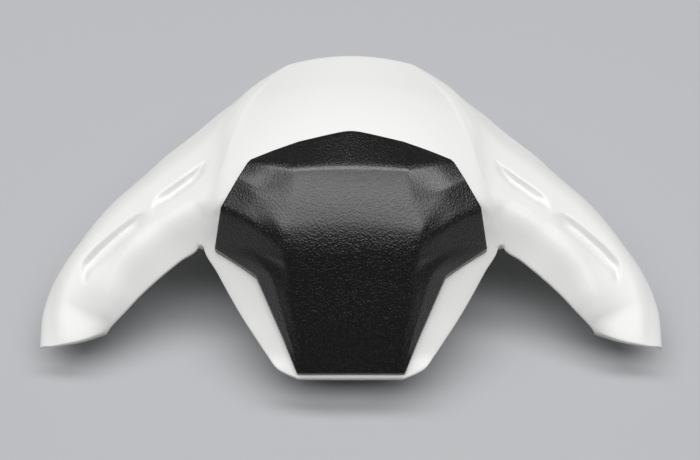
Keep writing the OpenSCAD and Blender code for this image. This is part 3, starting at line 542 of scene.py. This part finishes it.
def build_shell(settings):
    """Points and faces of the shell's outer surface, open at its free rim, and the points
    on the inside of its turned-down edge."""
    columns = shell_columns()
    half, rows, open_row = len(columns) - 1, LAST * ROWS_EACH, NOTCH * ROWS_EACH
    kinds = [c[0] for c in columns]
    first_wing, last_panel = kinds.index("wing"), kinds.index("strip") - 1
    flute, roll = settings.flute / MM, settings.roll / MM
    # Where each column starts, so that the tail's edge has its width to roll over in.
    starts = []
    for kind, value in columns:
        run = shell_point(kind, ROLL_PROBE, value, flute) - shell_point(kind, 0, value, flute)
        starts.append(min(settings.roll / run.length * ROLL_PROBE, ROLL_MOST))

    def station(i, j):
        u = i / ROWS_EACH
        return u if u > 1 else starts[abs(j)] * (1 - u) + u

    points, index, faces = [], {}, []
    for i in range(rows + 1):
        here = [j for j in range(half + 1) if i <= open_row or kinds[j] != "strip"]
        line = [shell_point(kinds[j], station(i, j), columns[j][1], flute, roll)
                for j in here]
        if i <= open_row:
            soften_seam(line, line[first_wing], seam_reach(i / ROWS_EACH))
        for j, p in zip(here, line):
            for side in (1, -1) if j else (1,):
                index[i, side * j] = len(points)
                points.append(Vector((side * p.x, p.y, p.z)))
    for i in range(rows):
        for j in range(-half, half):
            # Past the notch's inner end, nothing joins the tongue and the wing.
            low, high = sorted((abs(j), abs(j + 1)))
            if i >= open_row and low >= last_panel and high <= first_wing:
                continue
            faces.append([index[k] for k in ((i, j), (i + 1, j), (i + 1, j + 1), (i, j + 1))])
    # The turned-down edge follows the outer edge from one tip round the tail to the other.
    way = ([(i, -half) for i in range(rows, 0, -1)] + [(0, j) for j in range(-half, half + 1)]
           + [(i, half) for i in range(1, rows + 1)])
    corners = []
    for i, j in way:
        kind, value = columns[abs(j)]
        p = shell_point(kind, station(i, j) if i else 0, value, flute)
        corners.append(Vector((p.x if j > 0 else -p.x, p.y, p.z)))
    edge, behind = turned_edge(points, [index[k] for k in way], corners,
                               [i / rows for i, _ in way], settings)
    return points, faces + edge, behind


def turned_edge(points, border, corners, shares, settings):
    """Adds the points of the turned-down edge. It leaves the border in a roll that the
    corners pull, and gets less deep with the shares. Gives its faces and, for each new
    point, the one on the inside, which has no roll."""
    rings, behind = [border] + [[] for _ in range(ROLL_RINGS + DROP_RINGS)], {}
    for n, corner in enumerate(corners):
        along = corners[min(n + 2, len(corners) - 1)] - corners[max(n - 2, 0)]
        depth = (settings.tail_skirt
                 + (settings.tip_skirt - settings.tail_skirt) * shares[n] ** SKIRT_POWER)
        down = -flat_turn(along) * settings.draft - Vector((0, 0, depth))
        out = Vector((down.x, down.y, 0)).normalized()
        turn = min(settings.roll * ROLL_FALL / depth, ROLL_DEEPEST)
        first = points[border[n]]
        for k, ring in enumerate(rings[1:], 1):
            level = turn + (1 - turn) * max(k - ROLL_RINGS, 0) / DROP_RINGS
            p = corner + down * level
            behind[len(points)] = p - out * settings.wall
            if k < ROLL_RINGS:
                t = k / ROLL_RINGS
                p = first * (1 - t) ** 2 + corner * 2 * t * (1 - t) + p * t * t
            ring.append(len(points))
            points.append(p)
    faces = [[a[n], a[n + 1], b[n + 1], b[n]] for a, b in zip(rings, rings[1:])
             for n in range(len(corners) - 1)]
    return faces, behind


def add_wall(points, faces, behind, wall):
    """Adds the inside of the wall and its free rim; gives their faces, those of the rim
    first, and the edges of that rim."""
    normals = [Vector((0, 0, 0)) for _ in points]
    for f in faces:
        turn = (points[f[2]] - points[f[0]]).cross(points[f[3]] - points[f[1]])
        for v in f:
            normals[v] += turn
    used = {(a, b) for f in faces for a, b in zip(f, f[1:] + f[:1])}
    rim = sorted((a, b) for a, b in used if (b, a) not in used)
    at_rim = {v for edge in rim for v in edge}
    inner, places = {}, {}
    for v in range(len(points)):
        # The wall is half as thick at its rim, and points that coincide are one.
        drop = wall / max(abs(normals[v].normalized().z), STEEPEST)
        p = behind.get(v) or points[v] - Vector((0, 0, wall / 2 if v in at_rim else drop))
        key = tuple(round(c, 7) for c in p)
        if key not in places:
            places[key] = len(points)
            points.append(p)
        inner[v] = places[key]
    made = []
    for f in ([[b, a, inner[a], inner[b]] for a, b in rim]
              + [[inner[v] for v in reversed(f)] for f in faces]):
        f = [v for v, before in zip(f, f[-1:] + f[:-1]) if v != before]
        if len(f) > 2:
            made.append(f)
    return made, rim + [(inner[a], inner[b]) for a, b in rim if inner[a] != inner[b]]


class COWL_OT_shell(bpy.types.Operator):
    """Make the painted shell with its wings, flutes and turned-down edge"""
    bl_idname = "cowl.shell"
    bl_label = "Shell"

    def execute(self, context):
        settings = context.scene.cowl_shell
        points, faces, behind = build_shell(settings)
        inside, rim = add_wall(points, faces, behind, settings.wall)
        skin = mesh_object("cowl_skin", points, faces + inside,
                           [gloss_paint(settings.paint), bare_abs(settings.inside)])
        # The paint covers the outside and the rim.
        for polygon in skin.data.polygons[len(faces) + len(rim) // 2:]:
            polygon.material_index = 1
        round_rim(skin, rim, settings.rim_radius, 2)
        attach(skin, "root")
        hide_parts("cowl_shell")
        return {"FINISHED"}


def skin_tree():
    """A tree of the shell's faces, for finding its height over a place."""
    mesh = bpy.data.objects["cowl_skin"].data
    return BVHTree.FromPolygons([v.co for v in mesh.vertices],
                                [p.vertices[:] for p in mesh.polygons])


def height_over(tree, x, y):
    """The shell's height over a place, and the direction square to it, which points up."""
    above = 300 * MM
    hit, normal, _, _ = tree.ray_cast(Vector((x, y, above)), Vector((0, 0, -1)))
    if hit is None:
        raise RuntimeError(f"the shell has no surface over {x:.4f}, {y:.4f}")
    return hit.z, normal if normal.z > 0 else -normal


# The bosses and ribs inside the shell

# Sides of each round boss.
SIDES = 40
# How deep below the outer surface bosses and ribs start, and seats, as shares of the wall.
BOSS_TOP, SEAT_TOP = 0.6, 0.5
# The bosses for the threaded inserts, and the ribs from boss to boss.
INSERT_RADIUS, INSERT_BOSS = 3.75 * MM, 6.75 * MM
RIB_HEIGHT, RIB_STEPS = 11 * MM, 24
# The seats of the pad's screws: their places in half width and distance from the lip, in
# mm, their radius, their depth below the wall and the hole, which the wing pins share.
SEAT_X, SEAT_AT = 20, (88, 36)
SEAT_RADIUS, SEAT_DEPTH, SCREW_HOLE = 8 * MM, 4 * MM, 2.75 * MM
# The wing pins' bosses, the length of a pin below its boss, and what its hole has to spare.
PIN_BOSS, PIN_BELOW, PIN_SPARE = 7 * MM, 18 * MM, 1 * MM


def tube(profile, point):
    """Points and faces of a tube. Its profile is a list of radius and level, and
    point(radius, level, angle) gives each point."""
    points = [point(r, level, 2 * math.pi * k / SIDES) for r, level in profile
              for k in range(SIDES)]
    faces = [[a + k, a + (k + 1) % SIDES, a + SIDES + (k + 1) % SIDES, a + SIDES + k]
             for a in range(0, len(points) - SIDES, SIDES) for k in range(SIDES)]
    return points, faces


def upright_boss(tree, at, radius, hole, bottom, hole_end, wall):
    """An upright boss with a blind hole, whose top follows the shell's wall."""
    def point(r, z, angle):
        x, y = at[0] + r * math.cos(angle), at[1] + r * math.sin(angle)
        if z is None:
            z = height_over(tree, x, y)[0] - wall * BOSS_TOP
        return Vector((x, y, z))

    points, faces = tube(((hole, hole_end), (hole, bottom), (radius, bottom), (radius, None)),
                         point)
    return points, faces + [list(range(SIDES))]


def screw_seat(tree, x, y, wall):
    """A short boss under the wall, square to it, with a through hole."""
    z, normal = height_over(tree, x, y)
    side = normal.orthogonal().normalized()
    other, top, end = normal.cross(side), -wall * SEAT_TOP, -wall - SEAT_DEPTH

    def point(r, level, angle):
        spoke = side * math.cos(angle) + other * math.sin(angle)
        return Vector((x, y, z)) + normal * level + spoke * r

    return tube(((SCREW_HOLE, top), (SCREW_HOLE, end), (SEAT_RADIUS, end), (SEAT_RADIUS, top)),
                point)


def boss_rib(tree, x, y, wall):
    """A rib across the shell at y, from the boss at -x to the one at x."""
    points, faces = [], []
    for k in range(RIB_STEPS + 1):
        px = x * (2 * k / RIB_STEPS - 1)
        top = height_over(tree, px, y)[0] - wall * BOSS_TOP
        for py in (y - wall / 2, y + wall / 2):
            points += [Vector((px, py, top)), Vector((px, py, top - RIB_HEIGHT))]
    for a in range(0, 4 * RIB_STEPS, 4):
        b = a + 4
        faces += [[a, a + 1, b + 1, b], [a + 2, b + 2, b + 3, a + 3],
                  [a + 1, a + 3, b + 3, b + 1]]
    return points, faces


class COWL_OT_bosses(bpy.types.Operator):
    """Make the bosses, seats and ribs moulded inside the shell"""
    bl_idname = "cowl.bosses"
    bl_label = "Bosses and ribs"

    def execute(self, context):
        settings = context.scene.cowl_shell
        tree, wall = skin_tree(), settings.wall
        low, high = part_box("boss_inserts")
        x, ys = high.x - INSERT_RADIUS, (low.y + INSERT_RADIUS, high.y - INSERT_RADIUS)
        parts = [upright_boss(tree, (sx, y), INSERT_BOSS, INSERT_RADIUS, low.z, high.z, wall)
                 for sx in (-x, x) for y in ys]
        parts += [boss_rib(tree, x, y, wall) for y in ys]
        parts += [screw_seat(tree, sx * MM, place(0, d, 0).y, wall)
                  for sx in (-SEAT_X, SEAT_X) for d in SEAT_AT]
        for side in ("left", "right"):
            low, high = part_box("wing_pin_" + side)
            at = ((low.x + high.x) / 2, (low.y + high.y) / 2)
            parts.append(upright_boss(tree, at, PIN_BOSS, SCREW_HOLE, low.z + PIN_BELOW,
                                      high.z + PIN_SPARE, wall))
        points, faces = [], []
        for part_points, part_faces in parts:
            faces += [[len(points) + k for k in f] for f in part_faces]
            points += part_points
        bosses = mesh_object("cowl_bosses", points, faces, [bare_abs(settings.inside)])
        bosses.data.set_sharp_from_angle(angle=math.radians(35))
        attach(bosses, "root")
        return {"FINISHED"}


# The back pad

def pad_across(k, c):
    """A point across row k of the pad's net, with c counted in its four lines."""
    row = PAD[k]
    if c <= 1:
        # The top edge runs straight to both sides of its rounded middle.
        bend = c * c if k else ((math.hypot(c, PAD_APEX) - PAD_APEX)
                                / (math.hypot(1, PAD_APEX) - PAD_APEX))
        return [p + (q - p) * share for p, q, share in zip(row[0], row[1], (c, bend, bend))]
    if k <= PAD_CREASE_ROW:
        return spline(row[1:], c - 1)
    i = min(int(c), 2)
    return [p * (1 - c + i) + q * (c - i) for p, q in zip(row[i], row[i + 1])]


def pad_slope(c, k):
    """How steeply the centre facet falls where it passes row k, from the rows beside it."""
    a, b, e = (pad_across(n, c) for n in (k - 1, k, k + 1))
    before, after = (b[2] - a[2]) / (b[1] - a[1]), (e[2] - b[2]) / (e[1] - b[1])
    if k == 1:
        return after * PAD_RIDGE
    return (before * (e[1] - b[1]) + after * (b[1] - a[1])) / (e[1] - a[1])


def pad_point(i, a):
    """The point of the pad's right half in row i and column a of its faces. The centre
    facet bends smoothly from row to row of the table, and the sides are straight."""
    k = min(i // PAD_ROWS, len(PAD) - 2)
    t = i / PAD_ROWS - k
    c = a / PAD_MID if a < PAD_MID else 1 + (a - PAD_MID) / PAD_SIDE
    p, q = pad_across(k, c), pad_across(k + 1, c)
    x, y, z = (m * (1 - t) + n * t for m, n in zip(p, q))
    smooth = 1 - step(c - 1)
    if smooth and 0 < k < len(PAD) - 2:
        run = q[1] - p[1]
        before, after = pad_slope(c, k) * run, pad_slope(c, k + 1) * run
        bent = (p[2] * (1 + 2 * t) * (1 - t) ** 2 + before * t * (1 - t) ** 2
                + q[2] * t * t * (3 - 2 * t) - after * t * t * (1 - t))
        z += (bent - z) * smooth
    return place(x, y, z)


def pad_grid(rows, half, soft):
    """The points of the pad's outer face, row by row."""
    grid = []
    for i in range(rows + 1):
        row = [pad_point(i, abs(j)) for j in range(-half, half + 1)]
        for p in row[:half]:
            p.x = -p.x
        grid.append(row)

    def relaxed(i, j):
        if i in (0, rows) or j in (0, 2 * half):
            return grid[i][j]
        around = grid[i - 1][j] + grid[i + 1][j] + grid[i][j - 1] + grid[i][j + 1]
        return grid[i][j] * PAD_KEEP + around * PAD_PULL

    # The foam rounds the creases: each point moves towards the middle of its neighbours.
    for _ in range(soft):
        grid = [[relaxed(i, j) for j in range(2 * half + 1)] for i in range(rows + 1)]
    return grid


class COWL_OT_pad(bpy.types.Operator):
    """Make the back pad with its facets, soft creases and rim"""
    bl_idname = "cowl.pad"
    bl_label = "Back pad"

    def execute(self, context):
        settings = context.scene.cowl_pad
        tree = skin_tree()
        rows, half = (len(PAD) - 1) * PAD_ROWS, PAD_MID + 2 * PAD_SIDE
        wide = 2 * half + 1
        top = [p for row in pad_grid(rows, half, settings.soft) for p in row]
        under = []
        for p in top:
            z, normal = height_over(tree, p.x, p.y)
            under.append(Vector((p.x, p.y, min(z + settings.gap / normal.z,
                                               p.z - PAD_LEAST))))
        count, faces = len(top), []
        for i in range(rows):
            for a in range(i * wide, (i + 1) * wide - 1):
                quad = [a, a + wide, a + wide + 1, a + 1]
                faces += [quad, [v + count for v in reversed(quad)]]
        loop = [*range(wide), *(i * wide + wide - 1 for i in range(1, rows + 1)),
                *(rows * wide + k for k in range(wide - 2, -1, -1)),
                *(i * wide for i in range(rows - 1, 0, -1))]
        rim = list(zip(loop, loop[1:] + loop[:1]))
        faces += [[a, b, b + count, a + count] for a, b in rim]
        pad = mesh_object("back_pad_cover", top + under, faces,
                          [grained_vinyl(settings.vinyl, settings.grain)])
        round_rim(pad, rim, PAD_RIM, 3)
        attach(pad, "root")
        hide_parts("back_pad")
        return {"FINISHED"}


# The pieces that keep their CAD shape

def dress(names, material):
    """Gives CAD nodes a better material."""
    for name in names:
        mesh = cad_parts[name].data
        mesh.materials.clear()
        mesh.materials.append(material)


class COWL_OT_frame(bpy.types.Operator):
    """Dress the moulded frame and the wing pins"""
    bl_idname = "cowl.frame"
    bl_label = "Frame and wing pins"

    def execute(self, context):
        dress(("base_frame", "wing_pin_left", "wing_pin_right"),
              moulded_nylon(context.scene.cowl_fixings.nylon))
        return {"FINISHED"}


class COWL_OT_latch(bpy.types.Operator):
    """Dress the latch loop, the front hook, their bolts and nuts and the pad's washers"""
    bl_idname = "cowl.latch"
    bl_label = "Latch loop and hook"

    def execute(self, context):
        dress(("latch_loop", "front_hook", "frame_bolts", "frame_nuts", "pad_washers"),
              zinc_plate(context.scene.cowl_fixings.zinc))
        return {"FINISHED"}


class COWL_OT_screws(bpy.types.Operator):
    """Dress the screws and the threaded inserts"""
    bl_idname = "cowl.screws"
    bl_label = "Screws and inserts"

    def execute(self, context):
        fixings = context.scene.cowl_fixings
        dress(("pad_screws", "frame_screws"), black_zinc(fixings.black))
        dress(("boss_inserts",), turned_brass(fixings.brass))
        return {"FINISHED"}


class COWL_OT_buffers(bpy.types.Operator):
    """Dress the four rubber buffers"""
    bl_idname = "cowl.buffers"
    bl_label = "Rubber buffers"

    def execute(self, context):
        dress([f"buffer_{a}_{b}" for a in ("front", "rear") for b in ("left", "right")],
              moulded_rubber(context.scene.cowl_fixings.rubber))
        return {"FINISHED"}


# The stage, in metres

FLOOR_HALF = 12.0
# Each lamp's place, length and width, and the place that they all face.
LAMPS = {"front_lamp": ((-0.08, -0.68, 2.71), 6.0, 1.35),
         "key_lamp": ((0.08, 0.85, 2.96), 5.0, 0.75)}
LAMPS_FACE = (0, 0, 0.06)
# The camera's place, its angle below level in degrees, and its lens and sensor in mm, which
# make 800 pixels of focal length in an image 700 wide.
CAMERA_AT, CAMERA_DOWN, LENS, SENSOR = (-0.0005, -0.3015, 0.3956), 50.54, 41.14, 36.0


class COWL_OT_stage(bpy.types.Operator):
    """Make the floor, the lamps and the camera"""
    bl_idname = "cowl.stage"
    bl_label = "Stage"

    def execute(self, context):
        settings, scene = context.scene.cowl_stage, context.scene
        corners = [(x * FLOOR_HALF, y * FLOOR_HALF, 0)
                   for x, y in ((-1, -1), (1, -1), (1, 1), (-1, 1))]
        floor = mesh_object("stage_floor", corners, [(0, 1, 2, 3)],
                            [studio_board(settings.floor)])
        world = bpy.data.worlds.new("room")
        world.use_nodes = True
        world.node_tree.nodes.clear()
        shade = add(world.node_tree, "ShaderNodeBackground",
                    {"Color": (1, 1, 1, 1), "Strength": settings.room})
        add(world.node_tree, "ShaderNodeOutputWorld", links={"Surface": shade.outputs[0]})
        scene.world = world
        for name, (at, long, wide) in LAMPS.items():
            light = bpy.data.lights.new(name, "AREA")
            light.energy, light.shape = getattr(settings, name), "RECTANGLE"
            light.size, light.size_y = long, wide
            lamp = bpy.data.objects.new(name, light)
            lamp.location = at
            aim = Vector(LAMPS_FACE) - Vector(at)
            lamp.rotation_euler = aim.to_track_quat("-Z", "Y").to_euler()
            scene.collection.objects.link(lamp)
        eye = bpy.data.cameras.new("camera")
        eye.sensor_width, eye.lens = SENSOR, LENS
        eye.clip_start = 10 * MM
        camera = bpy.data.objects.new("camera", eye)
        camera.location = CAMERA_AT
        camera.rotation_euler = (math.radians(90 - CAMERA_DOWN), 0, 0)
        scene.collection.objects.link(camera)
        scene.camera = camera
        scene.view_settings.view_transform = "Standard"
        return {"FINISHED"}


class COWL_PT_panel(bpy.types.Panel):
    """The steps that make the seat cowl"""
    bl_idname = "COWL_PT_panel"
    bl_label = "Seat cowl"
    bl_space_type = "VIEW_3D"
    bl_region_type = "UI"
    bl_category = "Seat cowl"

    def draw(self, context):
        for group in GROUPS:
            box = self.layout.box()
            settings = getattr(context.scene, group)
            for name in settings.__annotations__:
                box.prop(settings, name)
        for operator in OPERATORS:
            self.layout.operator(operator.bl_idname)


GROUPS = {"cowl_shell": CowlShellSettings, "cowl_pad": CowlPadSettings,
          "cowl_fixings": CowlFixingSettings, "cowl_stage": CowlStageSettings}
OPERATORS = (COWL_OT_shell, COWL_OT_bosses, COWL_OT_pad, COWL_OT_frame, COWL_OT_latch,
             COWL_OT_screws, COWL_OT_buffers, COWL_OT_stage)


def register():
    for name, group in GROUPS.items():
        bpy.utils.register_class(group)
        setattr(bpy.types.Scene, name, bpy.props.PointerProperty(type=group))
    for c in (*OPERATORS, COWL_PT_panel):
        bpy.utils.register_class(c)


def unregister():
    for c in (COWL_PT_panel, *reversed(OPERATORS)):
        bpy.utils.unregister_class(c)
    for name, group in GROUPS.items():
        delattr(bpy.types.Scene, name)
        bpy.utils.unregister_class(group)


def main():
    register()
    for operator in OPERATORS:
        group, name = operator.bl_idname.split(".")
        getattr(getattr(bpy.ops, group), name)()


if __name__ == "__main__":
    main()
